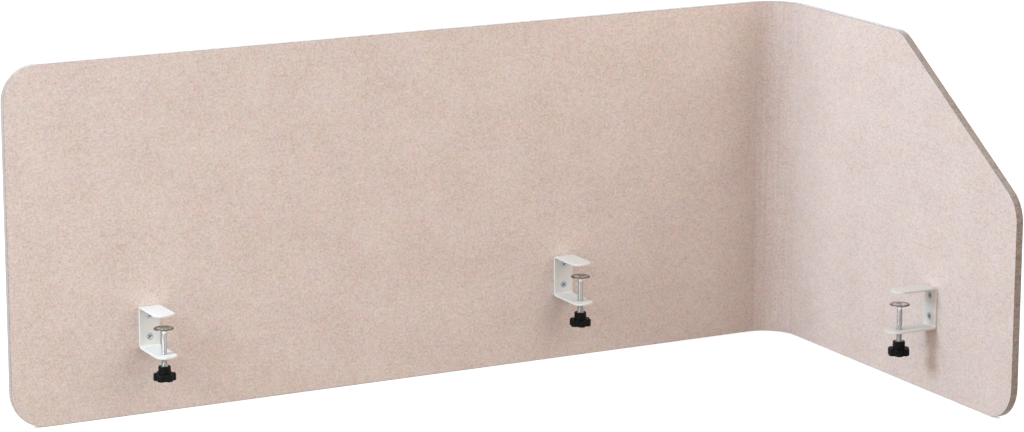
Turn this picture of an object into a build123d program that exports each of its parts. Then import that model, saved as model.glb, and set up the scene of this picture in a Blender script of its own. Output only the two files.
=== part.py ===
"""Corner privacy panel for a desk: one bent felt board held by three screw clamps.

Frame: +X runs along the long back panel, +Y points out through its back face (the user sits on
the -Y side) and +Z is up. The origin is the middle of the bounding box, on the bottom edge.
All sizes are millimetres.
"""
from build123d import *

import os

# ---- felt board -------------------------------------------------------------------------------
INNER_LENGTH = 1216.0        # long panel, left end to the inside face of the wing
INNER_DEPTH = 599.0          # wing, front end to the inside face of the long panel
HEIGHT = 500.0
THICKNESS = 11.0
BEND_RADIUS = 50.0           # inside radius of the vertical corner
CORNER_RADIUS = 50.0         # every corner of the outline
CHAMFER_START = 310.0        # sloping edge leaves the top this far in front of the long panel
CHAMFER_END_HEIGHT = 306.0   # and meets the front edge at this height

# ---- where the clamps sit ---------------------------------------------------------------------
LEFT_CLAMP_FROM_END = 201.0
MIDDLE_CLAMP_FROM_END = 848.0
SIDE_CLAMP_FROM_FRONT = 195.0

# ---- bracket: a strip folded into a C ---------------------------------------------------------
STRIP_WIDTH = 30.0
STRIP_THICKNESS = 3.0
BRACKET_BOTTOM = 93.0        # height of the lower arm's underside above the bottom edge
BRACKET_HEIGHT = 60.0
UPPER_ARM = 66.0             # reach from the felt's face
LOWER_ARM = 73.0
TIP_RADIUS = 13.0
FOLD_RADIUS = 5.0            # outside of each fold
SCREW_HEIGHTS = {"lower": 109.5, "upper": 139.5}

# ---- M5 countersunk screw and its insert in the felt ------------------------------------------
SCREW_RADIUS = 2.5
SCREW_HOLE_RADIUS = 2.75
SCREW_LENGTH = 12.0
HEAD_RADIUS = 5.0
HEAD_DEPTH = 2.5
CROSS_WIDTH = 1.1
CROSS_SPAN = 5.2
CROSS_DEPTH = 2.0
INSERT_RADIUS = 4.0
INSERT_BORE_RADIUS = 2.55
INSERT_LENGTH = 9.5
BARB_RADIUS = 4.4
BARB_WIDTH = 1.2
BARB_PITCH = 2.8
BARB_COUNT = 3

# ---- M8 spindle -------------------------------------------------------------------------------
AXIS_REACH = 53.0            # axis to the felt's face
SPINDLE_RADIUS = 3.95
SPINDLE_HOLE_RADIUS = 4.0
NECK_RADIUS = 2.55
PEEN_RADIUS = 4.0
PEEN_HEIGHT = 1.7
PEEN_TAPER = 1.0
AXIAL_GAP = 0.2              # free play of the pad on the neck

# ---- swivel pad -------------------------------------------------------------------------------
PAD_TOP = 133.0
PAD_RADIUS = 14.0
PAD_SHEET = 1.4
PAD_RIM_BEVEL = 1.0
PAD_RIM_TURN = 0.8           # how far the edge hangs below the sheet
CUP_DEPTH = 2.9
CUP_MOUTH_RADIUS = 7.4
CUP_FLOOR_RADIUS = 4.9
CUP_WALL = 0.6               # outward shift of the cup's underside
PAD_HOLE_RADIUS = 2.6

# ---- knob -------------------------------------------------------------------------------------
KNOB_BOTTOM = 59.3
KNOB_HEAD_HEIGHT = 10.2
KNOB_HEIGHT = 20.0
KNOB_RADIUS = 15.5
HUB_RADIUS = 8.7
LOBES = 6
SCALLOP_RADIUS = 5.2
SCALLOP_DEPTH = 3.0
KNOB_EDGE = 1.2
BUSH_RADIUS = 5.2
BUSH_LENGTH = 13.0
BUSH_PROUD = 0.3

# ---- worked out -------------------------------------------------------------------------------
LENGTH = INNER_LENGTH + THICKNESS
DEPTH = INNER_DEPTH + THICKNESS
BACK_FACE_Y = DEPTH / 2 - THICKNESS      # inside face of the long panel
WING_FACE_X = LENGTH / 2 - THICKNESS     # inside face of the wing
BRACKET_TOP = BRACKET_BOTTOM + BRACKET_HEIGHT
CUP_FLOOR = PAD_TOP - CUP_DEPTH
SPINDLE_SHOULDER = CUP_FLOOR - PAD_SHEET - AXIAL_GAP
HUB_TOP = KNOB_BOTTOM + KNOB_HEIGHT
BUSH_TOP = HUB_TOP + BUSH_PROUD
BUSH_BOTTOM = BUSH_TOP - BUSH_LENGTH

OVERRUN = 1.0                # how far a cutting shape runs past the face it cuts
OVERLAP = 0.1                # how far joined shapes reach into each other

# Each clamp is drawn in a local frame whose origin is on the felt's inside face, with local -Y
# pointing away from the felt, and is then turned and moved to its place. The last value turns
# the knob, because no two knobs stop at the same angle.
CLAMPS = {
    "left": (-LENGTH / 2 + LEFT_CLAMP_FROM_END, BACK_FACE_Y, 0, 11),
    "middle": (-LENGTH / 2 + MIDDLE_CLAMP_FROM_END, BACK_FACE_Y, 0, -17),
    "side": (WING_FACE_X, -DEPTH / 2 + SIDE_CLAMP_FROM_FRONT, -90, 1),
}


def ring(outer, inner, bottom, top):
    """Upright tube on the local Z axis."""
    wall = Circle(outer) - Circle(inner)
    return extrude(Pos(0, 0, bottom) * wall, top - bottom)


def disc(radius, bottom, top):
    """Upright cylinder on the local Z axis."""
    return extrude(Pos(0, 0, bottom) * Circle(radius), top - bottom)


def across(shape, height):
    """Turn a shape drawn along +Z so that +Z points away from the felt, at this height."""
    return Pos(0, 0, height) * Rot(90, 0, 0) * shape


def axis_place(shape):
    """Move a shape drawn round the Z axis onto the spindle axis."""
    return Pos(0, -AXIS_REACH, 0) * shape


# ---- felt board -------------------------------------------------------------------------------
def plan_strip():
    """Plan view of the board: an L of even thickness with one round bend."""
    left = -LENGTH / 2
    front = -DEPTH / 2
    outer_radius = BEND_RADIUS + THICKNESS
    outside = box_with_bend(left, front, LENGTH / 2, DEPTH / 2, outer_radius)
    inside = box_with_bend(left - OVERRUN, front - OVERRUN, WING_FACE_X, BACK_FACE_Y, BEND_RADIUS)
    return outside - inside


def box_with_bend(left, front, right, back, radius):
    """Rectangle in plan whose right back corner is rounded."""
    outline = Polyline((left, front), (left, back), (right, back), (right, front), close=True)
    face = make_face(outline)
    return fillet(nearest_vertex(face, (right, back, 0)), radius)


def nearest_vertex(face, target):
    return face.vertices().sort_by_distance(target)[0]


def rounded_outline(plane, points, corners):
    """Face through the points, with the listed ones rounded by the common corner radius."""
    face = make_face(plane * Polyline(*points, close=True))
    for corner in corners:
        face = fillet(nearest_vertex(face, plane.from_local_coords(corner)), CORNER_RADIUS)
    return face


def back_outline():
    """Side view onto the long panel: square towards the bend, round at the free end."""
    left = -LENGTH / 2
    right = LENGTH
    points = [(left, 0), (right, 0), (right, HEIGHT), (left, HEIGHT)]
    face = rounded_outline(Plane.XZ, points, [(left, 0), (left, HEIGHT)])
    return extrude(face, DEPTH, both=True)


def wing_outline():
    """Side view onto the wing: its upper front corner is cut off by a sloping edge."""
    front = -DEPTH / 2
    slope_start = BACK_FACE_Y - CHAMFER_START
    points = [(front, 0), (DEPTH, 0), (DEPTH, HEIGHT), (slope_start, HEIGHT),
              (front, CHAMFER_END_HEIGHT)]
    rounded = [(front, 0), (slope_start, HEIGHT), (front, CHAMFER_END_HEIGHT)]
    face = rounded_outline(Plane.YZ, points, rounded)
    return extrude(face, LENGTH, both=True)


def felt_panel():
    board = extrude(plan_strip(), HEIGHT)
    board = board & back_outline() & wing_outline()
    for place in CLAMPS.values():
        for height in SCREW_HEIGHTS.values():
            bore = across(disc(INSERT_RADIUS, -INSERT_LENGTH, OVERRUN), height)
            board -= clamp_location(place) * bore
    return board


# ---- clamp pieces, each in the clamp's local frame --------------------------------------------
def bracket():
    """C-shaped strip: back plate against the felt, two arms with rounded tips."""
    top = BRACKET_TOP
    low = BRACKET_BOTTOM
    sheet = STRIP_THICKNESS
    profile = Polyline((-UPPER_ARM, top), (0, top), (0, low), (-LOWER_ARM, low),
                       (-LOWER_ARM, low + sheet), (-sheet, low + sheet), (-sheet, top - sheet),
                       (-UPPER_ARM, top - sheet), close=True)
    face = make_face(Plane.YZ * profile)
    for corner in ((0, top), (0, low)):
        face = fillet(nearest_vertex(face, Plane.YZ.from_local_coords(corner)), FOLD_RADIUS)
    for corner in ((-sheet, top - sheet), (-sheet, low + sheet)):
        face = fillet(nearest_vertex(face, Plane.YZ.from_local_coords(corner)), FOLD_RADIUS - sheet)
    strip = extrude(face, STRIP_WIDTH / 2, both=True)
    for reach in (UPPER_ARM, LOWER_ARM):
        upright = strip.edges().filter_by(Axis.Z)
        tips = upright.filter_by_position(Axis.Y, -reach - OVERLAP, -reach + OVERLAP)
        strip = fillet(tips, TIP_RADIUS)
    strip -= axis_place(disc(SPINDLE_HOLE_RADIUS, low - OVERRUN, low + sheet + OVERRUN))
    for height in SCREW_HEIGHTS.values():
        hole = disc(SCREW_HOLE_RADIUS, -OVERRUN, sheet + OVERRUN) + countersink()
        strip -= across(hole, height)
    return strip


def countersink():
    """90 degree cone, flush with the plate's face."""
    cone = Cone(HEAD_RADIUS - HEAD_DEPTH, HEAD_RADIUS, HEAD_DEPTH)
    return Pos(0, 0, STRIP_THICKNESS - HEAD_DEPTH / 2) * cone


def screw():
    """M5 countersunk machine screw with a cross recess, drawn along +Z out of the felt."""
    flush = STRIP_THICKNESS
    body = countersink() + disc(SCREW_RADIUS, flush - SCREW_LENGTH, flush - HEAD_DEPTH + OVERLAP)
    slot = Box(CROSS_SPAN, CROSS_WIDTH, 2 * CROSS_DEPTH)
    cross = slot + Rot(0, 0, 90) * slot
    return body - Pos(0, 0, flush) * Rot(0, 0, 45) * cross


def insert():
    """Threaded sleeve pressed into the felt, held by three barbs."""
    sleeve = ring(INSERT_RADIUS, INSERT_BORE_RADIUS, -INSERT_LENGTH, 0)
    for number in range(BARB_COUNT):
        bottom = -INSERT_LENGTH + BARB_WIDTH + number * BARB_PITCH
        sleeve += ring(BARB_RADIUS, INSERT_BORE_RADIUS, bottom, bottom + BARB_WIDTH)
    return sleeve


def spindle():
    """Screw rod: thread, reduced neck through the pad, and a peened end that keeps the pad on."""
    thread = disc(SPINDLE_RADIUS, BUSH_BOTTOM, SPINDLE_SHOULDER)
    neck_top = CUP_FLOOR + AXIAL_GAP
    neck = disc(NECK_RADIUS, SPINDLE_SHOULDER, neck_top)
    peen = Pos(0, 0, neck_top + PEEN_HEIGHT / 2) * Cone(PEEN_RADIUS, PEEN_RADIUS - PEEN_TAPER,
                                                           PEEN_HEIGHT)
    return thread + neck + peen


def swivel_pad():
    """Pressed disc with its edge turned down and a cup in the middle for the spindle's end."""
    floor = CUP_FLOOR
    sheet = PAD_SHEET
    under = PAD_TOP - sheet
    rim = PAD_RADIUS - PAD_RIM_BEVEL
    half = Polyline((PAD_HOLE_RADIUS, floor), (CUP_FLOOR_RADIUS, floor), (CUP_MOUTH_RADIUS, PAD_TOP),
                    (rim, PAD_TOP), (PAD_RADIUS, PAD_TOP - PAD_RIM_BEVEL),
                    (PAD_RADIUS, under - PAD_RIM_TURN), (rim, under - PAD_RIM_TURN),
                    (rim, under), (CUP_MOUTH_RADIUS + CUP_WALL, under),
                    (CUP_FLOOR_RADIUS + CUP_WALL, floor - sheet), (PAD_HOLE_RADIUS, floor - sheet),
                    close=True)
    return revolve(make_face(Plane.XZ * half), Axis.Z)


def knob():
    """Moulded star knob: scalloped grip below, round hub above."""
    grip = Circle(KNOB_RADIUS)
    ring_radius = KNOB_RADIUS - SCALLOP_DEPTH + SCALLOP_RADIUS
    grip -= PolarLocations(ring_radius, LOBES) * Circle(SCALLOP_RADIUS)
    grip = fillet(grip.vertices(), KNOB_EDGE)
    grip = extrude(Pos(0, 0, KNOB_BOTTOM) * grip, KNOB_HEAD_HEIGHT)
    rims = grip.faces().filter_by(Axis.Z).edges()
    grip = chamfer(rims, KNOB_EDGE / 2)
    hub = disc(HUB_RADIUS, KNOB_BOTTOM + KNOB_EDGE, HUB_TOP)
    hub = chamfer(hub.edges().sort_by(Axis.Z)[-1], KNOB_EDGE / 2)
    return grip + hub - disc(BUSH_RADIUS, BUSH_BOTTOM, HUB_TOP + OVERRUN)


def knob_bush():
    """Metal bush moulded into the hub, fixed on the spindle's lower end."""
    return ring(BUSH_RADIUS, SPINDLE_RADIUS, BUSH_BOTTOM, BUSH_TOP)


# ---- assembly ---------------------------------------------------------------------------------
def clamp_location(place):
    x, y, turn, _ = place
    return Location((x, y, 0), (0, 0, turn))


def clamp_pieces(place):
    """Every piece of one clamp, keyed by the last part of its node's name."""
    knob_turn = place[3]
    pieces = {
        "bracket": bracket(),
        "spindle": axis_place(spindle()),
        "pad": axis_place(swivel_pad()),
        "knob": axis_place(Rot(0, 0, knob_turn) * knob()),
        "knob_bush": axis_place(knob_bush()),
    }
    for level, height in SCREW_HEIGHTS.items():
        pieces[f"{level}_screw"] = across(screw(), height)
        pieces[f"{level}_insert"] = across(insert(), height)
    return {name: clamp_location(place) * piece for name, piece in pieces.items()}


def build():
    nodes = {"felt_panel": felt_panel()}
    for name, place in CLAMPS.items():
        for piece_name, piece in clamp_pieces(place).items():
            nodes[f"{name}_{piece_name}"] = piece
    return nodes


os.makedirs("parts", exist_ok=True)
for node_name, solid in build().items():
    solid.label = node_name
    export_step(solid, f"parts/{node_name}.step")
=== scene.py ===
import math

import bmesh
import bpy
import numpy as np
from mathutils import Matrix, Vector
from mathutils.geometry import delaunay_2d_cdt


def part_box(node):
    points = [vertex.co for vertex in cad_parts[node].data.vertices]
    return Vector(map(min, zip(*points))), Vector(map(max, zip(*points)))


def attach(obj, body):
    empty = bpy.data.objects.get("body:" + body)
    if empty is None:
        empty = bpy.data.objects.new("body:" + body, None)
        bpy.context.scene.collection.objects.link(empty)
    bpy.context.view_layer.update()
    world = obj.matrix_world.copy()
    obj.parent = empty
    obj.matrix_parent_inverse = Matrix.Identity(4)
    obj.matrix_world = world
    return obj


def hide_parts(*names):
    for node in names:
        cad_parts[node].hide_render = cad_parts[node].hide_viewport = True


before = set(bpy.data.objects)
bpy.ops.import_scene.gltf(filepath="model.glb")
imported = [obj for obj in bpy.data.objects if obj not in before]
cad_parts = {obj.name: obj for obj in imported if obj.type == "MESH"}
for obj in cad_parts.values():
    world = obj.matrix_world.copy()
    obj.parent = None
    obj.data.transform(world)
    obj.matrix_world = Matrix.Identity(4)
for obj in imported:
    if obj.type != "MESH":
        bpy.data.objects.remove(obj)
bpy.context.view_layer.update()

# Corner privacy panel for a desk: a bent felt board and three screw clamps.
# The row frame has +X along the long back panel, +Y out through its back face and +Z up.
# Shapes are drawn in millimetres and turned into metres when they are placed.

MM = 0.001
QUARTER = math.pi / 2

# ---- felt board -------------------------------------------------------------------------------
BEND_RADIUS = 50.0           # inside radius of the vertical corner
CORNER_RADIUS = 50.0
CHAMFER_START = 310.0        # in front of the long panel's inside face
CHAMFER_END_HEIGHT = 306.0
FELT_THICKNESS = 11.0
FELT_ARRIS = 0.9             # softened edge of the cut felt
FELT_GRID = 12.0
FELT_BEND_STEP = 5.0
FELT_CORNER_STEP = 6         # degrees

# ---- felt material: sizes in metres, as the material nodes take them -----------------------------
FIBRE_WIDTH = 0.0007
FIBRE_STRETCH = (7, 1, 1)
FIBRE_TURNS = (8, 67, 128)   # degrees
FIBRE_CROSSING = 32          # degrees from each light fibre to its dark one
FIBRE_GREY = (0.8, 1.06, 1.22)   # dark fibres are greyer than the felt's mean colour
CLUMP_SIZE = 0.003
LUMP_SIZE = 0.011
CLOUD_SIZE = 0.065
FIBRE_SHARE = 0.36
PATCH_SHARES = (0.41, 0.13, 0.10)   # of clumps, lumps and clouds
PINK_SIZE = 0.018
STRAW_SIZE = 0.027
BEND_LINE_SIZE = 0.0045
BEND_LINE_STRETCH = (1, 60, 1)
BEND_LINE_TONE = (0.93, 0.91, 0.90)
BEND_FADE = 0.012
BEND_SHADE_REACH = (0.075, 0.11)    # painted shade darkens the felt this far before and after the bend
BEND_SHADE_TONE = (0.885, 0.865, 0.86)

# ---- bracket ----------------------------------------------------------------------------------
STRIP_THICKNESS = 3.0
UPPER_ARM = 66.0
TIP_RADIUS = 13.0
FOLD_RADIUS = 5.0
STRIP_ARRIS = 0.55
STRIP_GRID = 4.0
STRIP_FOLD_STEP = 1.0
STRIP_CORNER_STEP = 7.5      # degrees
COUNTERSINK = 5.0            # radius just below the strip's face
COUNTERSINK_BREAK = (0.15, 0.1)  # width and depth of the broken edge round it
SCREW_HOLE = 2.75
SPINDLE_HOLE = 4.0
SPINDLE_HOLE_BREAK = 0.4
HOLE_SIDES = 40

# ---- screws -----------------------------------------------------------------------------------
SCREW_HEIGHTS = {"lower": 109.5, "upper": 139.5}
HEAD_RADIUS = 5.0
SHANK_RADIUS = 2.45
SCREW_LENGTH = 12.0
HEAD_SIDES = 48
RECESS_SPAN = 5.6
RECESS_WIDTH = 1.4
RECESS_DEPTH = 2.0
RECESS_MOUTH = 1.06          # the mouth's size against the recess's own
RECESS_TURN = math.pi / 4

# ---- spindle ----------------------------------------------------------------------------------
PITCH = 1.25
THREAD_TOP_RADIUS = 3.95
THREAD_DEPTH = 0.62
THREAD_ROWS = 6              # rows of points in one turn
THREAD_SIDES = 28
CREST_LEVEL = 1.35           # above 1, so that the crest is flat
FLANK_SLOPE = 3.4
THREAD_END = 125.6
SHOULDER = 128.5             # top of the ball that the pad rocks on
BALL_RADIUS = 3.2
NECK_RADIUS = 2.5
PEEN_BOTTOM = 130.3
PEEN_RADIUS = 4.0
PEEN_HEIGHT = 1.7

# ---- pad --------------------------------------------------------------------------------------
PAD_RADIUS = 14.0
PAD_HOLE = 2.6
PAD_SIDES = 72
CUP_FLOOR = 2.9              # depth of the cup's floor below the rim's top
CUP_BOTTOM = 4.3
RIM_SHADE_START = 8.2        # painted shade darkens the pad from this radius on, over the width
RIM_SHADE_WIDTH = 2.4

# ---- knob: each knob stops at its own angle, in degrees ----------------------------------------
KNOB_TURN = {"left": 11, "middle": -17, "side": 1}
LOBES = 6
KNOB_RADIUS = 15.5
SCALLOP_RADIUS = 5.2
SCALLOP_DEPTH = 3.0
GRIP_HEIGHT = 10.2
HUB_RADIUS = 8.7
LOBE_BLEND = 1.1             # the round between a lobe and a scallop
UNDERSIDE_DEPTH = 1.3
PARTING_LINE = 5.1           # height above the knob's lowest edge
BUSH_RADIUS = 5.2
BUSH_SIDES = 48
KNOB_SIDES = 144


# ==== mesh code ================================================================================
class Shape:
    """Points and faces gathered in millimetres. Each point has an edge value from 0 to 1, which
    marks wear on some pieces and painted shade and highlight on others.
    """

    def __init__(self):
        self.points = []
        self.edge = []
        self.faces = []
        self.paint = []
        self.flat = []

    def add(self, points, edge=0.0, flat=None):
        first = len(self.points)
        self.points += [tuple(p) for p in points]
        self.edge += [edge] * len(points)
        self.flat += flat or [(0, 0, 0)] * len(points)
        return list(range(first, len(self.points)))

    def face(self, corners, paint=0):
        self.faces.append(corners)
        self.paint.append(paint)

    def bridge(self, lower, upper, paint=0):
        """Quads between two closed loops with as many points each."""
        count = len(lower)
        for i in range(count):
            j = (i + 1) % count
            self.face((lower[i], lower[j], upper[j], upper[i]), paint)

    def cap(self, loop, centre, paint=0):
        """Triangles from a loop to one middle point."""
        middle = self.add([centre])[0]
        for i in range(len(loop)):
            self.face((loop[i], loop[(i + 1) % len(loop)], middle), paint)

    def build(self, name, place, materials, angle=40):
        """The Blender object, placed in the row frame, with one closed surface."""
        mesh = bpy.data.meshes.new(name)
        mesh.from_pydata([place @ Vector(p) for p in self.points], [], self.faces)
        for polygon, paint in zip(mesh.polygons, self.paint):
            polygon.material_index = paint
        wear_and_painted_light = mesh.attributes.new("edge", "FLOAT", "POINT")
        wear_and_painted_light.data.foreach_set("value", self.edge)
        flat = mesh.attributes.new("flat", "FLOAT_VECTOR", "POINT")
        flat.data.foreach_set("vector", [c * MM for p in self.flat for c in p])
        work = bmesh.new()
        work.from_mesh(mesh)
        bmesh.ops.remove_doubles(work, verts=work.verts, dist=1e-6)
        bmesh.ops.dissolve_degenerate(work, edges=work.edges, dist=1e-7)
        bmesh.ops.recalc_face_normals(work, faces=work.faces)
        work.to_mesh(mesh)
        work.free()
        mesh.shade_smooth()
        mesh.set_sharp_from_angle(angle=math.radians(angle))
        for material in materials:
            mesh.materials.append(material)
        piece = bpy.data.objects.new(name, mesh)
        bpy.context.scene.collection.objects.link(piece)
        weighted = piece.modifiers.new("even_shading", "WEIGHTED_NORMAL")
        weighted.keep_sharp = True
        return piece


def arc_points(centre, radius, start, end, step=15):
    """Points on an arc from one angle to another, in radians; step is in degrees."""
    count = max(2, math.ceil(abs(end - start) / math.radians(step)))
    angles = [start + (end - start) * i / count for i in range(count + 1)]
    return [(centre[0] + radius * math.cos(a), centre[1] + radius * math.sin(a)) for a in angles]


def rounded(points, radii, step=15):
    """A closed outline through the points, each corner rounded by its radius (0 keeps it sharp)."""
    outline = []
    for i, point in enumerate(points):
        corner = Vector(point)
        if radii[i] == 0:
            outline.append(tuple(corner))
            continue
        back = (Vector(points[i - 1]) - corner).normalized()
        ahead = (Vector(points[(i + 1) % len(points)]) - corner).normalized()
        half = back.angle(ahead) / 2
        centre = corner + (back + ahead).normalized() * (radii[i] / math.sin(half))
        reach = radii[i] / math.tan(half)
        first = corner + back * reach - centre
        last = corner + ahead * reach - centre
        start = math.atan2(first.y, first.x)
        sweep = (math.atan2(last.y, last.x) - start + math.pi) % (2 * math.pi) - math.pi
        outline += arc_points(centre, radii[i], start, start + sweep, step)
    return outline


def circle(centre, radius, count):
    return [(centre[0] + radius * math.cos(2 * math.pi * i / count),
             centre[1] + radius * math.sin(2 * math.pi * i / count)) for i in range(count)]


def cross_lines(outline, columns, rows):
    """The outline with more points, where its long runs cross the grid's columns or rows."""
    finer = []
    for i, start in enumerate(outline):
        end = outline[(i + 1) % len(outline)]
        run = (end[0] - start[0], end[1] - start[1])
        axis, lines = (0, columns) if abs(run[0]) > abs(run[1]) else (1, rows)
        shares = sorted((line - start[axis]) / run[axis] for line in lines)
        finer.append(start)
        finer += [(start[0] + run[0] * share, start[1] + run[1] * share)
                  for share in shares if 0.02 < share < 0.98 and math.hypot(*run) > 2]
    return finer


def inset(outline, distance):
    """The outline moved towards its inside. It runs counter-clockwise."""
    moved = []
    for i, point in enumerate(outline):
        before = Vector(point) - Vector(outline[i - 1])
        after = Vector(outline[(i + 1) % len(outline)]) - Vector(point)
        along = (before.normalized() + after.normalized()).normalized()
        moved.append((point[0] - along.y * distance, point[1] + along.x * distance))
    return moved


def inside(points, outline, gap):
    """Which points lie inside the outline, further than gap from it."""
    here = np.array(points)[:, None, :]
    start = np.array(outline)[None, :, :]
    end = np.roll(start, -1, axis=1)
    crossing = (start[..., 1] > here[..., 1]) != (end[..., 1] > here[..., 1])
    rise = np.where(end[..., 1] == start[..., 1], 1e-9, end[..., 1] - start[..., 1])
    where = start[..., 0] + (here[..., 1] - start[..., 1]) * (end[..., 0] - start[..., 0]) / rise
    within = (crossing & (here[..., 0] < where)).sum(1) % 2 == 1
    run = end - start
    share = ((here - start) * run).sum(2) / np.maximum((run * run).sum(2), 1e-12)
    nearest = start + np.clip(share, 0, 1)[..., None] * run
    return within & (np.sqrt(((here - nearest) ** 2).sum(2)).min(1) > gap)


def fill(outline, holes, grid=()):
    """Triangles, as numbers into outline + holes + grid, that cover the outline but not its holes."""
    flat = list(outline)
    edges = [(i, (i + 1) % len(outline)) for i in range(len(outline))]
    for hole in holes:
        first = len(flat)
        flat += hole
        edges += [(first + i, first + (i + 1) % len(hole)) for i in range(len(hole))]
    flat += grid
    inside_edges = 1
    corners, _, triangles = delaunay_2d_cdt([Vector(p) for p in flat], edges, [], inside_edges,
                                            1e-6)[:3]
    if len(corners) != len(flat):
        raise ValueError("two points of an outline coincide")
    middles = [sum((corners[i] for i in t), Vector((0, 0))) / 3 for t in triangles]
    keep = np.ones(len(triangles), bool)
    for hole in holes:
        keep &= ~inside(middles, hole, 0)
    return [tuple(t) for t, kept in zip(triangles, keep) if kept]


def round_wall(thickness, arris, steps=4):
    """Inset and height of each ring round a sheet's edge, from its upper face to its lower one."""
    turn = [(arris * (1 - math.sin(QUARTER * k / steps)),
             arris * (1 - math.cos(QUARTER * k / steps))) for k in range(steps + 1)]
    return ([(off, thickness - down) for off, down in turn]
            + [(off, down) for off, down in reversed(turn)])


def bent_sheet(outline, holes, thickness, arris, columns, rows, bend, cut_paint=0):
    """A sheet drawn flat, with softened edges, and then bent. outline and holes are flat; each
    hole is (centre, [(radius, height), ...]). bend turns (along, across, height) into a point."""
    shape = Shape()

    def lay(points, height, edge=0.0):
        return shape.add([bend(x, y, height) for x, y in points], edge,
                         [(x, y, height) for x, y in points])

    rings = []
    for off, height in round_wall(thickness, arris):
        flat = inset(outline, off)
        # edge values: the bracket's powder coat lightens with them, a painted highlight on the strip's
        # edges
        edge = 1.0 if 0 < height < thickness and off < arris else 0.4
        rings.append((flat, lay(flat, height, edge)))
    half = len(rings) // 2
    for number, (upper, lower) in enumerate(zip(rings, rings[1:])):
        shape.bridge(upper[1], lower[1], cut_paint if abs(number + 1 - half) < half - 1 else 0)
    ends = [[rings[0]], [rings[-1]]]
    for centre, wall in holes:
        loops = []
        for radius, height in wall:
            flat = circle(centre, radius, HOLE_SIDES)
            loops.append((flat, lay(flat, height, 0.6)))
        for upper, lower in zip(loops, loops[1:]):
            shape.bridge(upper[1], lower[1])
        ends[0].append(loops[0])
        ends[1].append(loops[-1])
    raster = [(x, y) for x in columns for y in rows]
    for loops, height in zip(ends, (thickness, 0.0)):
        kept = inside(raster, loops[0][0], 0.4 * (rows[1] - rows[0]))
        for flat, _ in loops[1:]:
            kept &= ~inside(raster, inset(flat, -1.0), 0)
        grid = [p for p, keep in zip(raster, kept) if keep]
        numbers = [n for _, loop in loops for n in loop]
        numbers += lay(grid, height)
        for triangle in fill(loops[0][0], [flat for flat, _ in loops[1:]], grid):
            shape.face(tuple(numbers[i] for i in triangle))
    return shape


def lathe(shape, profile, sides, closed=False, edges=None):
    """Turns a profile of (radius, height) round the Z axis. An open profile that starts or ends
    off the axis is closed with a flat cap."""
    loops = []
    for number, (radius, height) in enumerate(profile):
        edge = edges[number] if edges else 0.0
        loops.append(shape.add([(x, y, height) for x, y in circle((0, 0), radius, sides)], edge))
    for lower, upper in zip(loops, loops[1:]):
        shape.bridge(lower, upper)
    if closed:
        shape.bridge(loops[-1], loops[0])
    else:
        shape.cap(loops[0], (0, 0, profile[0][1]))
        shape.cap(loops[-1], (0, 0, profile[-1][1]))
    return shape


# ==== where things are, from the frame =========================================================
def millimetres(node):
    low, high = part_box(node)
    return low / MM, high / MM


panel_low, panel_high = millimetres("felt_panel")
BACK_FACE = panel_high.y - FELT_THICKNESS
WING_FACE = panel_high.x - FELT_THICKNESS
ROW = Matrix.Scale(MM, 4)


class Clamp:
    """One clamp's place. Its local frame starts on the felt, with -Y pointing away from it."""

    def __init__(self, name):
        self.name = name
        low, high = millimetres(f"{name}_bracket")
        spindle = sum(millimetres(f"{name}_spindle"), Vector()) / 2
        on_wing = high.x - low.x > high.y - low.y
        self.bottom = low.z
        self.top = high.z
        self.width = min(high.x - low.x, high.y - low.y)
        self.lower_arm = max(high.x - low.x, high.y - low.y)
        if on_wing:
            origin, turn = Vector((high.x, spindle.y, 0)), -QUARTER
            self.reach = high.x - spindle.x
        else:
            origin, turn = Vector((spindle.x, high.y, 0)), 0.0
            self.reach = high.y - spindle.y
        self.place = ROW @ Matrix.Translation(origin) @ Matrix.Rotation(turn, 4, "Z")
        self.axis = self.place @ Matrix.Translation((0, -self.reach, 0))
        self.knob_bottom = millimetres(f"{name}_knob")[0].z
        self.hub_top = millimetres(f"{name}_knob")[1].z
        self.bush = [corner.z for corner in millimetres(f"{name}_knob_bush")]
        self.pad_top = millimetres(f"{name}_pad")[1].z


# ==== materials ================================================================================
MIX_FIRST, MIX_SECOND, MIX_RESULT = 6, 7, 2      # the colour sockets of Blender's Mix node


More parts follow.
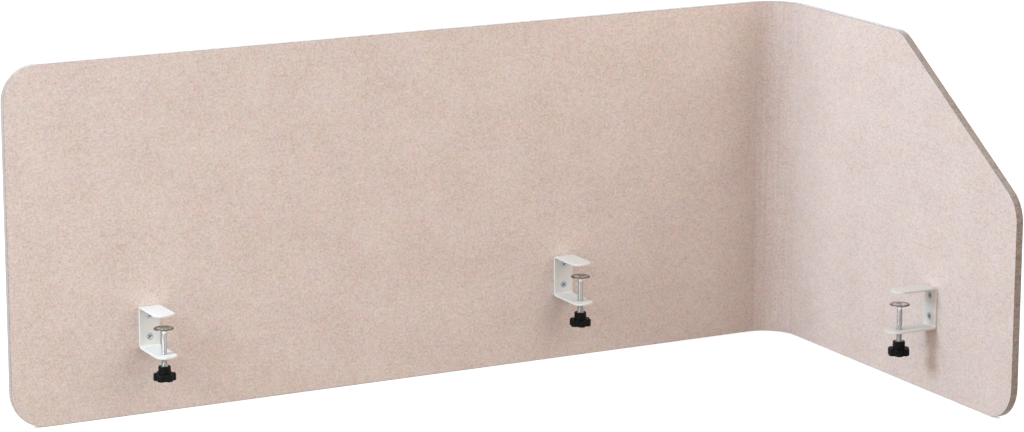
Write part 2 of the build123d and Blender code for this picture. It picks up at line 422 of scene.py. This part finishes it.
class Look:
    """A node material. Its methods add nodes and return the output socket to link on."""

    def __init__(self, name, attribute=None):
        self.material = bpy.data.materials.new(name)
        self.material.use_nodes = True
        self.tree = self.material.node_tree
        self.shader = self.tree.nodes["Principled BSDF"]
        if attribute:
            self.where = self.attribute(attribute).outputs["Vector"]
        else:
            self.where = self.tree.nodes.new("ShaderNodeTexCoord").outputs["Object"]

    def link(self, source, target):
        self.tree.links.new(source, target)

    def set(self, **values):
        for name, value in values.items():
            self.shader.inputs[name.replace("_", " ")].default_value = value

    def noise(self, size, detail=2.0, roughness=0.5, distortion=0.0, stretch=(1, 1, 1), turn=0):
        """Noise whose features are about size metres across, stretched along a direction that
        is turned about Z by so many degrees."""
        place = self.tree.nodes.new("ShaderNodeMapping")
        place.vector_type = "TEXTURE"
        place.inputs["Scale"].default_value = stretch
        place.inputs["Rotation"].default_value = (0, 0, math.radians(turn))
        self.link(self.where, place.inputs["Vector"])
        texture = self.tree.nodes.new("ShaderNodeTexNoise")
        texture.inputs["Scale"].default_value = 1 / size
        texture.inputs["Detail"].default_value = detail
        texture.inputs["Roughness"].default_value = roughness
        texture.inputs["Distortion"].default_value = distortion
        self.link(place.outputs["Vector"], texture.inputs["Vector"])
        return texture.outputs["Fac"]

    def ramp(self, source, stops):
        node = self.tree.nodes.new("ShaderNodeValToRGB")
        elements = node.color_ramp.elements
        while len(elements) < len(stops):
            elements.new(0.5)
        for element, (position, colour) in zip(elements, stops):
            element.position = position
            element.color = (*colour, 1) if len(colour) == 3 else colour
        self.link(source, node.inputs["Fac"])
        return node.outputs["Color"]

    def mix(self, share, first, second, kind="MIX"):
        """Mixes two colours, each a socket or a colour."""
        node = self.tree.nodes.new("ShaderNodeMix")
        node.data_type = "RGBA"
        node.blend_type = kind
        for value, socket in ((share, node.inputs["Factor"]), (first, node.inputs[MIX_FIRST]),
                              (second, node.inputs[MIX_SECOND])):
            if isinstance(value, bpy.types.NodeSocket):
                self.link(value, socket)
            elif isinstance(value, tuple):
                socket.default_value = (*value, 1)
            else:
                socket.default_value = value
        return node.outputs[MIX_RESULT]

    def span(self, source, low, high, new_low, new_high, smooth=False):
        """Maps low..high to new_low..new_high, clamped, in a line or a smooth step."""
        node = self.tree.nodes.new("ShaderNodeMapRange")
        node.interpolation_type = "SMOOTHSTEP" if smooth else "LINEAR"
        self.link(source, node.inputs["Value"])
        for name, value in (("From Min", low), ("From Max", high), ("To Min", new_low),
                            ("To Max", new_high)):
            node.inputs[name].default_value = value
        return node.outputs["Result"]

    def math(self, kind, first, second):
        node = self.tree.nodes.new("ShaderNodeMath")
        node.operation = kind
        for value, socket in ((first, node.inputs[0]), (second, node.inputs[1])):
            if isinstance(value, bpy.types.NodeSocket):
                self.link(value, socket)
            else:
                socket.default_value = value
        return node.outputs[0]

    def attribute(self, name):
        node = self.tree.nodes.new("ShaderNodeAttribute")
        node.attribute_name = name
        return node

    def edge(self):
        """The edge value that the mesh code gave each point, for wear and for painted shade and
        highlight.
        """
        return self.attribute("edge").outputs["Fac"]

    def near_bend(self, before, after):
        """1 on the felt board's bend, fading to 0 this far before and after it. For a look placed
        by "flat"."""
        split = self.tree.nodes.new("ShaderNodeSeparateXYZ")
        self.link(self.where, split.inputs["Vector"])
        start = (WING_FACE - panel_low.x - BEND_RADIUS) * MM
        end = start + BEND_RADIUS * QUARTER * MM
        rise = self.span(split.outputs["X"], start - before, start + BEND_FADE, 0.0, 1.0, True)
        fall = self.span(split.outputs["X"], end - BEND_FADE, end + after, 1.0, 0.0, True)
        return self.math("MULTIPLY", rise, fall)

    def colour(self, source):
        self.link(source, self.shader.inputs["Base Color"])

    def roughness(self, source):
        self.link(source, self.shader.inputs["Roughness"])

    def bump(self, source, depth, strength=1.0):
        node = self.tree.nodes.new("ShaderNodeBump")
        node.inputs["Strength"].default_value = strength
        node.inputs["Distance"].default_value = depth
        self.link(source, node.inputs["Height"])
        self.link(node.outputs["Normal"], self.shader.inputs["Normal"])


def felt_look(name, mean, contrast, bump, sheen=0.6):
    """Pressed polyester felt: crossing fibres of several tones in soft clumps, with pink and straw
    tints. It has faint upright lines where it was pressed round the bend, and painted shade darkens it
    there."""
    look = Look(name, "flat")
    bright, dark = None, None
    for turn in FIBRE_TURNS:
        streak = look.noise(FIBRE_WIDTH, detail=1, distortion=0.4, stretch=FIBRE_STRETCH, turn=turn)
        other = look.noise(FIBRE_WIDTH, detail=1, distortion=0.4, stretch=FIBRE_STRETCH,
                           turn=turn + FIBRE_CROSSING)
        bright = look.math("MAXIMUM", bright, streak) if bright else streak
        dark = look.math("MINIMUM", dark, other) if dark else other
    fibre = look.math("MULTIPLY", look.math("ADD", bright, dark), 0.5)
    clump = look.noise(CLUMP_SIZE, detail=2, roughness=0.5, distortion=0.6)
    lump = look.noise(LUMP_SIZE, detail=2)
    cloud = look.noise(CLOUD_SIZE, detail=2)
    tone = look.math("MULTIPLY", fibre, FIBRE_SHARE)
    for layer, share in zip((clump, lump, cloud), PATCH_SHARES):
        tone = look.math("ADD", tone, look.math("MULTIPLY", layer, share))
    stops = [(0.36, -2.6), (0.45, -0.9), (0.50, 0.0), (0.55, 0.75), (0.64, 2.0)]
    body = look.ramp(tone, [(at, tuple(c * (1 + contrast * share * step)
                                       for c, share in zip(mean, FIBRE_GREY)))
                            for at, step in stops])
    pink = look.span(look.noise(PINK_SIZE, detail=1), 0.35, 0.65, 0.0, 1.0)
    straw = look.span(look.noise(STRAW_SIZE, detail=2), 0.35, 0.65, 0.0, 1.0)
    body = look.mix(1.0, body, look.mix(pink, (0.985, 1.005, 1.0), (1.015, 0.982, 0.99)), "MULTIPLY")
    body = look.mix(1.0, body, look.mix(straw, (1.0, 1.0, 0.965), (0.995, 0.99, 1.01)), "MULTIPLY")
    line = look.span(look.noise(BEND_LINE_SIZE, detail=2, stretch=BEND_LINE_STRETCH), 0.35, 0.65,
                     0.0, 1.0)
    body = look.mix(look.math("MULTIPLY", line, look.near_bend(BEND_FADE, BEND_FADE)), body,
                    look.mix(1.0, body, BEND_LINE_TONE, "MULTIPLY"))
    # painted shade: the colour round the bend is darkened, standing in for the shade in the corner
    look.colour(look.mix(look.near_bend(*BEND_SHADE_REACH), body,
                         look.mix(1.0, body, BEND_SHADE_TONE, "MULTIPLY")))
    look.roughness(look.span(fibre, 0.35, 0.65, 0.85, 1.0))
    look.set(Specular_IOR_Level=0.2, Sheen_Weight=sheen, Sheen_Roughness=0.5)
    look.bump(look.math("ADD", fibre, clump), bump, 0.6)
    return look.material


def felt_face():
    return felt_look("felt_face", (0.70, 0.585, 0.53), 0.105, 0.0002)


def felt_cut():
    return felt_look("felt_cut", (0.265, 0.205, 0.172), 0.24, 0.0008, sheen=1.0)


def powder_coat():
    """Warm white powder coat: satin, with a fine orange peel and a painted highlight that lightens its
    edges.
    """
    look = Look("powder_coat")
    peel = look.noise(0.0011, detail=2, roughness=0.5)
    cloud = look.noise(0.02, detail=2)
    body = look.ramp(cloud, [(0.3, (0.67, 0.655, 0.62)), (0.7, (0.70, 0.685, 0.65))])
    # painted highlight: the edge value lightens the coat on its edges
    look.colour(look.mix(look.math("MULTIPLY", look.edge(), 0.25), body, (0.76, 0.75, 0.725)))
    look.roughness(look.span(peel, 0.3, 0.7, 0.36, 0.46))
    look.bump(peel, 0.00006, 0.5)
    return look.material


def metal(name, low, high, rough, size, painted_shade=0.0, shade=0.35):
    """Plated metal with a fine grain and small clouds between the colours low and high. Its edge
    value is painted shade: it darkens the colour towards shade times low, by the given share."""
    look = Look(name)
    grain = look.noise(size, detail=3, roughness=0.6)
    cloud = look.noise(0.006, detail=2)
    body = look.ramp(look.math("ADD", look.math("MULTIPLY", grain, 0.5),
                               look.math("MULTIPLY", cloud, 0.5)), [(0.35, low), (0.65, high)])
    dark = tuple(shade * c for c in low)
    # painted shade: the edge value darkens the colour towards dark
    look.colour(look.mix(look.math("MULTIPLY", look.edge(), painted_shade), body, dark))
    look.roughness(look.span(grain, 0.3, 0.7, rough[0], rough[1]))
    look.set(Metallic=1.0)
    look.bump(grain, 0.00003, 0.5)
    return look.material


def knob_plastic():
    """Black moulded plastic with a fine spark-eroded grain and rubbed edges."""
    look = Look("knob_plastic")
    grain = look.noise(0.00035, detail=2, roughness=0.6)
    cloud = look.noise(0.006, detail=3)
    body = look.ramp(cloud, [(0.3, (0.002, 0.002, 0.002)), (0.7, (0.004, 0.004, 0.004))])
    rubbed = look.math("MULTIPLY", look.edge(), look.span(cloud, 0.4, 0.6, 0.1, 0.7))
    look.colour(look.mix(rubbed, body, (0.012, 0.012, 0.0115)))
    look.roughness(look.span(grain, 0.3, 0.7, 0.36, 0.52))
    look.set(Specular_IOR_Level=0.08)
    look.bump(grain, 0.00004, 0.6)
    return look.material


# ==== pieces ===================================================================================
def spaced(start, end, step):
    count = max(1, round((end - start) / step))
    return [start + (end - start) * i / count for i in range(count + 1)]


def path_bender(runs, radius, closes):
    """For an L or C made of straight runs and quarter bends: turns a distance along the surface,
    a width and a height above it into a point (x, y, z), with closes(point, normal, width)."""
    quarter = radius * QUARTER

    def bend(along, across, height):
        spot, heading, left = Vector((0, 0)), Vector((1, 0)), along
        for number, run in enumerate(runs):
            last = number == len(runs) - 1
            normal = Vector((heading.y, -heading.x))
            if left <= run or last:
                return closes(spot + heading * left + normal * height, across)
            spot = spot + heading * run
            left -= run
            centre = spot + normal * radius
            angle = min(left, quarter) / radius
            if left <= quarter:
                out = -normal * math.cos(angle) + heading * math.sin(angle)
                return closes(centre + out * (radius - height), across)
            spot = centre + heading * radius
            heading = normal
            left -= quarter

    return bend


def felt_panel():
    """The board, drawn along its inside face from the long panel's free end."""
    long_run = WING_FACE - panel_low.x - BEND_RADIUS
    short_run = BACK_FACE - panel_low.y - BEND_RADIUS
    quarter = BEND_RADIUS * QUARTER
    total = long_run + quarter + short_run
    height = panel_high.z - panel_low.z
    slope_start = long_run + quarter + CHAMFER_START - BEND_RADIUS
    corners = [(0, 0), (total, 0), (total, CHAMFER_END_HEIGHT), (slope_start, height), (0, height)]
    outline = rounded(corners, [CORNER_RADIUS] * len(corners), FELT_CORNER_STEP)
    columns = (spaced(0, long_run, FELT_GRID)[:-1]
               + spaced(long_run, long_run + quarter, FELT_BEND_STEP)
               + spaced(long_run + quarter, total, FELT_GRID)[1:])
    rows = spaced(0, height, FELT_GRID)

    def to_row(flat, across):
        return (panel_low.x + flat.x, BACK_FACE + flat.y, across)

    bend = path_bender([long_run, short_run], BEND_RADIUS, to_row)
    shape = bent_sheet(cross_lines(outline, columns, rows), [], FELT_THICKNESS, FELT_ARRIS,
                       columns, rows, lambda s, w, t: bend(s, w, -t), cut_paint=1)
    return shape.build("felt_board", ROW, [felt_face(), felt_cut()])


def bracket(clamp, material):
    """The strip, drawn along its outer face from the upper arm's tip."""
    plate = clamp.top - clamp.bottom - 2 * FOLD_RADIUS
    runs = [UPPER_ARM - FOLD_RADIUS, plate, clamp.lower_arm - FOLD_RADIUS]
    quarter = FOLD_RADIUS * QUARTER
    first_fold = runs[0]
    second_fold = runs[0] + quarter + plate
    total = second_fold + quarter + runs[2]
    half = clamp.width / 2
    corners = [(0, -half), (total, -half), (total, half), (0, half)]
    outline = rounded(corners, [TIP_RADIUS] * len(corners), STRIP_CORNER_STEP)
    columns = (spaced(0, first_fold, STRIP_GRID)[:-1]
               + spaced(first_fold, first_fold + quarter, STRIP_FOLD_STEP)
               + spaced(first_fold + quarter, second_fold, STRIP_GRID)[1:-1]
               + spaced(second_fold, second_fold + quarter, STRIP_FOLD_STEP)
               + spaced(second_fold + quarter, total, STRIP_GRID)[1:])
    rows = spaced(-half, half, STRIP_GRID)
    sheet = STRIP_THICKNESS
    sunk = [(COUNTERSINK + COUNTERSINK_BREAK[0], sheet),
            (COUNTERSINK, sheet - COUNTERSINK_BREAK[1]),
            (SCREW_HOLE, sheet - COUNTERSINK + SCREW_HOLE), (SCREW_HOLE, 0)]
    drilled = [(SPINDLE_HOLE + SPINDLE_HOLE_BREAK, sheet),
               (SPINDLE_HOLE, sheet - SPINDLE_HOLE_BREAK),
               (SPINDLE_HOLE, SPINDLE_HOLE_BREAK),
               (SPINDLE_HOLE + SPINDLE_HOLE_BREAK, 0)]
    plate_top = clamp.top - FOLD_RADIUS
    holes = [((first_fold + quarter + plate_top - z, 0), sunk) for z in SCREW_HEIGHTS.values()]
    holes.append(((second_fold + quarter + clamp.reach - FOLD_RADIUS, 0), drilled))

    def to_clamp(flat, across):
        return (across, -UPPER_ARM + flat.x, clamp.top + flat.y)

    bend = path_bender(runs, FOLD_RADIUS, to_clamp)
    shape = bent_sheet(cross_lines(outline, columns, rows), holes, sheet, STRIP_ARRIS, columns,
                       rows, bend)
    return shape.build(f"{clamp.name}_strip", clamp.place, [material])


def recess(scale):
    """Outline of the cross recess, rounded in its corners, at a scale of its full size."""
    reach = RECESS_SPAN / 2 * scale
    half = RECESS_WIDTH / 2 * (0.6 + 0.4 * scale)
    corners = [(reach, -half), (reach, half), (half, half), (half, reach), (-half, reach),
               (-half, half), (-reach, half), (-reach, -half), (-half, -half), (-half, -reach),
               (half, -reach), (half, -half)]
    outline = rounded(corners, [0.22 * scale] * len(corners), 30)
    spin = Matrix.Rotation(RECESS_TURN, 2)
    return [tuple(spin @ Vector(p)) for p in outline]


def screw(clamp, level, material):
    """Countersunk screw, drawn along +Z and turned to point out of the felt."""
    flush = STRIP_THICKNESS
    shape = Shape()
    rim = [(SHANK_RADIUS - 0.5, flush - SCREW_LENGTH), (SHANK_RADIUS, flush - SCREW_LENGTH + 0.5),
           (SHANK_RADIUS, flush - HEAD_RADIUS + SHANK_RADIUS), (HEAD_RADIUS - 0.08, flush - 0.18),
           (HEAD_RADIUS - 0.08, flush - 0.12), (HEAD_RADIUS - 0.2, flush - 0.02)]
    # painted shade: these edge values, and those of the recess walls below, darken the head's rim and the
    # recess
    rim_shade = [0.1, 0.1, 0.5, 0.9, 0.9, 0.35]
    loops = [shape.add([(x, y, z) for x, y in circle((0, 0), radius, HEAD_SIDES)], wear_and_painted_light)
             for (radius, z), wear_and_painted_light in zip(rim, rim_shade)]
    for lower, upper in zip(loops, loops[1:]):
        shape.bridge(lower, upper)
    shape.cap(loops[0], (0, 0, rim[0][1]))
    walls = [(RECESS_MOUTH, 0.02, 0.0), (1.0, 0.14, 0.3), (0.55, 1.5, 1.0), (0.4, RECESS_DEPTH, 1.0)]
    crosses = [shape.add([(x, y, flush - down) for x, y in recess(scale)], wear_and_painted_light)
               for scale, down, wear_and_painted_light in walls]
    for upper, lower in zip(crosses, crosses[1:]):
        shape.bridge(upper, lower)
    shape.cap(crosses[-1], (0, 0, flush - RECESS_DEPTH))
    numbers = loops[-1] + crosses[0]
    for triangle in fill(circle((0, 0), rim[-1][0], HEAD_SIDES), [recess(RECESS_MOUTH)]):
        shape.face(tuple(numbers[i] for i in triangle))
    place = (clamp.place @ Matrix.Translation((0, 0, SCREW_HEIGHTS[level]))
             @ Matrix.Rotation(QUARTER, 4, "X"))
    return shape.build(f"{clamp.name}_{level}_screw_head", place, [material], 30)


def thread_rows(bottom, top):
    """Rows of points on a helical thread. Row r at side i continues in row r + THREAD_ROWS, so the
    rows climb by one pitch each time round. Both ends fade out to a plain round core."""
    core = THREAD_TOP_RADIUS - THREAD_DEPTH
    count = math.ceil((top - bottom) / PITCH) * THREAD_ROWS + 2 * THREAD_ROWS
    levels = []
    for row in range(count):
        phase = row % THREAD_ROWS / THREAD_ROWS
        crest = max(0.0, min(1.0, CREST_LEVEL - abs(phase - 0.5) * FLANK_SLOPE))
        ring, wear_and_painted_light = [], []
        for side in range(THREAD_SIDES):
            turn = side / THREAD_SIDES
            z = bottom - PITCH + PITCH * (row / THREAD_ROWS + turn)
            z = max(bottom, min(top, z))
            fade = max(0.0, min(1.0, (z - bottom) / PITCH, (top - z) / PITCH))
            radius = core + THREAD_DEPTH * crest * fade
            angle = 2 * math.pi * turn
            ring.append((radius * math.cos(angle), radius * math.sin(angle), z))
        levels.append((ring, 1.0 - crest))
    return levels


def spindle(clamp, material):
    """Threaded rod with a reduced neck and a domed, peened end."""
    bottom = clamp.bush[0]
    shape = Shape()
    # painted shade: the thread's rows get edge values that rise into its roots, and the steel darkens
    # there
    levels = [shape.add(ring, painted_shade) for ring, painted_shade in thread_rows(bottom, THREAD_END)]
    for row in range(len(levels) - 1):
        for side in range(THREAD_SIDES):
            if side < THREAD_SIDES - 1:
                here, there = levels[row][side + 1], levels[row + 1][side + 1]
            elif row + 1 + THREAD_ROWS < len(levels):
                here, there = levels[row + THREAD_ROWS][0], levels[row + 1 + THREAD_ROWS][0]
            else:
                continue
            shape.face((levels[row][side], here, there, levels[row + 1][side]))
    core = THREAD_TOP_RADIUS - THREAD_DEPTH
    top_of_all = PEEN_BOTTOM + PEEN_HEIGHT
    dome = [(PEEN_RADIUS - 0.15, PEEN_BOTTOM), (PEEN_RADIUS, PEEN_BOTTOM + 0.2),
            (PEEN_RADIUS - 0.05, PEEN_BOTTOM + 0.7), (PEEN_RADIUS - 0.45, PEEN_BOTTOM + 1.25),
            (PEEN_RADIUS - 1.3, top_of_all - 0.12), (1.2, top_of_all), (0.7, top_of_all - 0.12)]
    throat = [(core, THREAD_END), (NECK_RADIUS + 0.1, THREAD_END + 0.55)]
    ball = arc_points((0, SHOULDER - BALL_RADIUS * 0.6), BALL_RADIUS, -0.55, 0.64, 12)
    profile = throat + ball + [(NECK_RADIUS, SHOULDER), (NECK_RADIUS, PEEN_BOTTOM)] + dome
    loops = [shape.add([(x, y, z) for x, y in circle((0, 0), r, THREAD_SIDES)])
             for r, z in profile]
    for lower, upper in zip(loops, loops[1:]):
        shape.bridge(lower, upper)
    shape.cap(loops[-1], (0, 0, profile[-1][1]))
    start = shape.add([(x, y, bottom) for x, y in circle((0, 0), core, THREAD_SIDES)])
    shape.cap(start, (0, 0, bottom))
    return shape.build(f"{clamp.name}_threaded_rod", clamp.axis, [material], 50)


def swivel_pad(clamp, material):
    """Pressed, dished disc with a rounded rim and a cup in the middle."""
    top = clamp.pad_top
    corners = [(PAD_HOLE, top - CUP_FLOOR), (4.4, top - CUP_FLOOR), (9.6, top - 0.25),
               (PAD_RADIUS - 1, top), (PAD_RADIUS, top - 0.8), (PAD_RADIUS, top - 1.7),
               (PAD_RADIUS - 1, top - 1.6), (9.8, top - 1.75), (4.6, top - CUP_BOTTOM),
               (PAD_HOLE, top - CUP_BOTTOM)]
    radii = [0.15, 1.2, 3.0, 1.2, 0.45, 0.35, 1.0, 3.0, 1.0, 0.15]
    profile = rounded(corners, radii, 12)
    # painted shade: the edge values darken the pad's outer rim
    rim = [max(0.0, min(1.0, (radius - RIM_SHADE_START) / RIM_SHADE_WIDTH)) for radius, _ in profile]
    shape = lathe(Shape(), profile, PAD_SIDES, closed=True, edges=rim)
    return shape.build(f"{clamp.name}_pressed_pad", clamp.axis, [material], 60)


def knob(clamp, material):
    """Moulded star knob: rounded lobes, a fillet up to the hub and a dished underside."""
    low = clamp.knob_bottom
    high = low + GRIP_HEIGHT
    hub_top = clamp.hub_top
    dished = low + UNDERSIDE_DEPTH
    parting = low + PARTING_LINE
    ring_radius = KNOB_RADIUS - SCALLOP_DEPTH + SCALLOP_RADIUS

    def star(angle):
        """Radius of the grip's outline; the corners between arcs are blended round."""
        part = 2 * math.pi / LOBES
        off = (angle + part / 2) % part - part / 2
        under = SCALLOP_RADIUS ** 2 - (ring_radius * math.sin(off)) ** 2
        if under <= 0:
            return KNOB_RADIUS
        scallop = ring_radius * math.cos(off) - math.sqrt(under)
        share = max(0.0, min(1.0, 0.5 + (KNOB_RADIUS - scallop) / (2 * LOBE_BLEND)))
        return KNOB_RADIUS + (scallop - KNOB_RADIUS) * share - LOBE_BLEND * share * (1 - share)

    # each level: share of the star outline against a plain circle, inset or radius, height, wear
    levels = [(0, BUSH_RADIUS - 0.6, dished, 0), (0, 8.2, dished, 0), (0.5, 10.1, dished, 0),
              (1, 2.9, low + 1.1, 0), (1, 2.3, low + 0.35, 0.3), (1, 1.9, low + 0.05, 0.4),
              (1, 1.3, low, 0.4), (1, 0.6, low + 0.2, 0.9), (1, 0.2, low + 0.6, 1),
              (1, 0.05, low + 1.3, 0.5), (1, 0.03, parting - 0.2, 0), (1, 0, parting, 0.6),
              (1, 0.03, parting + 0.2, 0), (1, 0.1, high - 1.6, 0.4), (1, 0.35, high - 0.75, 1),
              (1, 0.8, high - 0.25, 0.9), (1, 1.4, high - 0.02, 0.4), (0.75, 12.0, high, 0),
              (0.4, 11.2, high, 0), (0, HUB_RADIUS + 1.3, high, 0), (0, HUB_RADIUS + 0.5, high + 0.25, 0),
              (0, HUB_RADIUS + 0.1, high + 0.9, 0), (0, HUB_RADIUS, high + 2.0, 0),
              (0, HUB_RADIUS - 0.15, hub_top - 0.9, 0.3), (0, HUB_RADIUS - 0.3, hub_top - 0.35, 1),
              (0, HUB_RADIUS - 0.8, hub_top, 0.7), (0, BUSH_RADIUS + 0.3, hub_top, 0),
              (0, BUSH_RADIUS + 0.02, hub_top - 0.3, 0), (0, BUSH_RADIUS + 0.02, clamp.bush[0], 0)]
    shape = Shape()
    loops = []
    turn = math.radians(KNOB_TURN[clamp.name])
    for share, size, z, wear_and_painted_light in levels:
        ring = []
        for i in range(KNOB_SIDES):
            angle = 2 * math.pi * i / KNOB_SIDES
            outline = star(angle)
            if share == 1:
                radius = outline - size
            else:
                radius = size * (1 - share) + (outline - KNOB_RADIUS + size) * share
            ring.append((radius * math.cos(angle + turn), radius * math.sin(angle + turn), z))
        loops.append(shape.add(ring, wear_and_painted_light))
    for lower, upper in zip(loops, loops[1:]):
        shape.bridge(lower, upper)
    shape.cap(loops[0], (0, 0, levels[0][2]))
    shape.cap(loops[-1], (0, 0, levels[-1][2]))
    return shape.build(f"{clamp.name}_star_knob", clamp.axis, [material], 60)


def knob_bush(clamp, material):
    """Turned bush with chamfered ends."""
    low, high = clamp.bush
    inner = THREAD_TOP_RADIUS - THREAD_DEPTH / 2
    profile = [(inner + 0.5, high), (BUSH_RADIUS - 0.4, high), (BUSH_RADIUS, high - 0.35),
               (BUSH_RADIUS, low + 0.3), (BUSH_RADIUS - 0.3, low), (inner, low), (inner, high - 0.5)]
    shape = lathe(Shape(), profile, BUSH_SIDES, closed=True)
    return shape.build(f"{clamp.name}_turned_bush", clamp.axis, [material], 30)


# ==== assembly =================================================================================
def hand_over(piece, body, node):
    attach(piece, body)
    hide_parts(node)


coat = powder_coat()
screw_zinc = metal("zinc_screw", (0.32, 0.36, 0.39), (0.44, 0.48, 0.51), (0.3, 0.42), 0.0006, 0.95)
rod_steel = metal("spindle_steel", (0.58, 0.58, 0.57), (0.67, 0.67, 0.66), (0.32, 0.4), 0.0008, 0.3)
pad_nickel = metal("pad_steel", (0.88, 0.84, 0.78), (0.97, 0.94, 0.89), (0.16, 0.24), 0.0008, 1.0, 0.23)
bush_zinc = metal("bush_metal", (0.60, 0.60, 0.60), (0.70, 0.70, 0.69), (0.25, 0.38), 0.0008)
insert_brass = metal("insert_metal", (0.60, 0.47, 0.25), (0.74, 0.60, 0.34), (0.3, 0.45), 0.0008)
black = knob_plastic()

hand_over(felt_panel(), "root", "felt_panel")
for clamp in (Clamp("left"), Clamp("middle"), Clamp("side")):
    hand_over(bracket(clamp, coat), "root", f"{clamp.name}_bracket")
    for level in SCREW_HEIGHTS:
        hand_over(screw(clamp, level, screw_zinc), "root", f"{clamp.name}_{level}_screw")
        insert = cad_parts[f"{clamp.name}_{level}_insert"]
        insert.data.materials.clear()
        insert.data.materials.append(insert_brass)
    hand_over(swivel_pad(clamp, pad_nickel), f"{clamp.name}_pad", f"{clamp.name}_pad")
    turning = f"{clamp.name}_spindle"
    hand_over(spindle(clamp, rod_steel), turning, f"{clamp.name}_spindle")
    hand_over(knob(clamp, black), turning, f"{clamp.name}_knob")
    hand_over(knob_bush(clamp, bush_zinc), turning, f"{clamp.name}_knob_bush")


# ==== floor, light and camera ==================================================================
FLOOR_SIDE = 40.0            # metres, from the middle to each edge
FLOOR_GAP = 0.0005           # below the board's lowest edge
FLOOR_GLOW = 0.42            # the white floor glows by itself, and sends no light onto the object
HORIZON_BLEND = 0.15
CAMERA_PLACE = (-2.2138, -4.1562, 1.3531)
CAMERA_LENS = 126.39         # on a 36 mm wide sensor
CAMERA_YAW = -0.4884
CAMERA_PITCH = -0.2213
CAMERA_ROLL = 0.0017


def floor():
    mesh = bpy.data.meshes.new("floor")
    corners = [(x * FLOOR_SIDE, y * FLOOR_SIDE, 0) for x, y in ((-1, -1), (1, -1), (1, 1), (-1, 1))]
    mesh.from_pydata(corners, [], [(0, 1, 2, 3)])
    look = Look("floor")
    grain = look.noise(0.4, detail=2)
    look.colour(look.ramp(grain, [(0.3, (0.86, 0.86, 0.86)), (0.7, (0.88, 0.88, 0.88))]))
    look.set(Roughness=0.9, Emission_Color=(1, 1, 1, 1), Emission_Strength=FLOOR_GLOW)
    mesh.materials.append(look.material)
    piece = bpy.data.objects.new("floor", mesh)
    piece.location.z = panel_low.z * MM - FLOOR_GAP
    piece.visible_diffuse = False
    bpy.context.scene.collection.objects.link(piece)


def softbox(name, place, target, size, power, colour=(1, 1, 1)):
    light = bpy.data.lights.new(name, "AREA")
    light.shape = "DISK"
    light.size = size
    light.energy = power
    light.color = colour
    piece = bpy.data.objects.new(name, light)
    piece.location = place
    piece.rotation_euler = (Vector(target) - Vector(place)).to_track_quat("-Z", "Y").to_euler()
    bpy.context.scene.collection.objects.link(piece)
    return piece


def surroundings(above, below):
    """Pale studio surroundings: their colours above and below the horizon."""
    world = bpy.data.worlds.new("studio")
    world.use_nodes = True
    tree = world.node_tree
    background = tree.nodes["Background"]
    direction = tree.nodes.new("ShaderNodeTexCoord")
    split = tree.nodes.new("ShaderNodeSeparateXYZ")
    level = tree.nodes.new("ShaderNodeMapRange")
    blend = tree.nodes.new("ShaderNodeMix")
    blend.data_type = "RGBA"
    tree.links.new(direction.outputs["Generated"], split.inputs["Vector"])
    tree.links.new(split.outputs["Z"], level.inputs["Value"])
    tree.links.new(level.outputs["Result"], blend.inputs["Factor"])
    tree.links.new(blend.outputs[MIX_RESULT], background.inputs["Color"])
    level.inputs["From Min"].default_value = -HORIZON_BLEND
    level.inputs["From Max"].default_value = HORIZON_BLEND
    blend.inputs[MIX_FIRST].default_value = (*below, 1)
    blend.inputs[MIX_SECOND].default_value = (*above, 1)
    bpy.context.scene.world = world


def camera():
    data = bpy.data.cameras.new("camera")
    data.sensor_width = 36.0
    data.lens = CAMERA_LENS
    data.clip_end = 100.0
    piece = bpy.data.objects.new("camera", data)
    level = math.cos(CAMERA_PITCH)
    ahead = Vector((-math.sin(CAMERA_YAW) * level, math.cos(CAMERA_YAW) * level,
                    math.sin(CAMERA_PITCH)))
    right = Vector((math.cos(CAMERA_YAW), math.sin(CAMERA_YAW), 0))
    up = right.cross(ahead)
    turned_right = right * math.cos(CAMERA_ROLL) + up * math.sin(CAMERA_ROLL)
    turned_up = up * math.cos(CAMERA_ROLL) - right * math.sin(CAMERA_ROLL)
    turn = Matrix((turned_right, turned_up, -ahead)).transposed()
    piece.matrix_world = Matrix.Translation(CAMERA_PLACE) @ turn.to_4x4()
    bpy.context.scene.collection.objects.link(piece)
    bpy.context.scene.camera = piece


floor()
softbox("key", (-1.813, 0.123, 1.274), (0.3, 0.1, 0.2), 0.85, 34, (0.76, 1.0, 1.22))
softbox("front_fill", (2.4, -3.2, 1.9), (0, 0, 0.25), 5.0, 76, (0.95, 1.0, 1.0))
softbox("low_fill", (-2.4, -1.0, 0.15), (-0.2, 0, 0.2), 1.2, 13)
surroundings((0.90, 0.83, 0.785), (0.33, 0.265, 0.23))
camera()
bpy.context.scene.view_settings.view_transform = "Standard"
